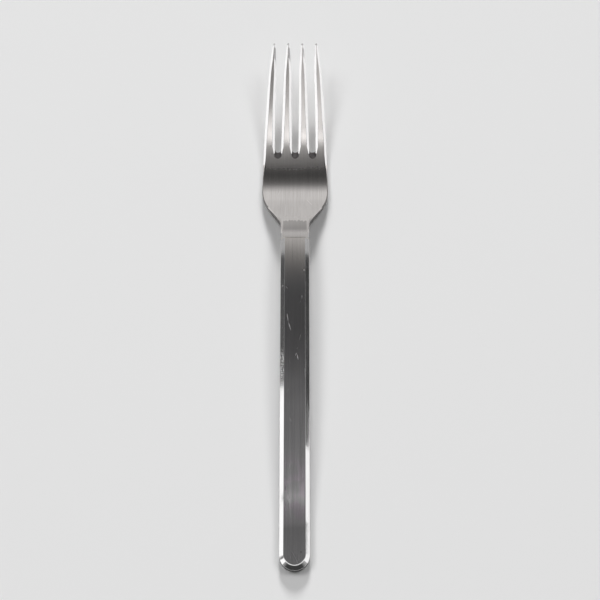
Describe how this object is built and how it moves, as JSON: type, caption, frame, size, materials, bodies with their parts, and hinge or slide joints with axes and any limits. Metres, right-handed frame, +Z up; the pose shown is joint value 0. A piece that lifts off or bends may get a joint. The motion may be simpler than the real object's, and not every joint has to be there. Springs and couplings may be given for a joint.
{
  "type": "dinner fork",
  "caption": "Plain steel dinner fork with slim pointed tines, rounded, flared shoulders and a slender arched handle with polished bevels and a round butt.",
  "frame": {"origin": "middle of the fork's length and width, on the surface it rests on", "axes": "+Y along the fork towards the tines, +X across it, +Z up from the table, with the hollow side of the head facing up"},
  "size_m": [0.025, 0.2, 0.0163],
  "materials": {
    "head_steel": "satin stainless steel with polished edges and light wear",
    "front_steel": "satin stainless steel brushed along the handle, with mirror-polished bevels",
    "back_steel": "satin stainless steel, rubbed where it rests on the table",
    "solder": "hard solder ground flush with the steel",
    "filler": "hard resin core, sealed inside the handle"
  },
  "bodies": {
    "root": {"fork_head": "head_steel", "handle_front_shell": "front_steel", "handle_back_shell": "back_steel", "neck_solder": "solder", "handle_filler": "filler"}
  },
  "joints": []
}
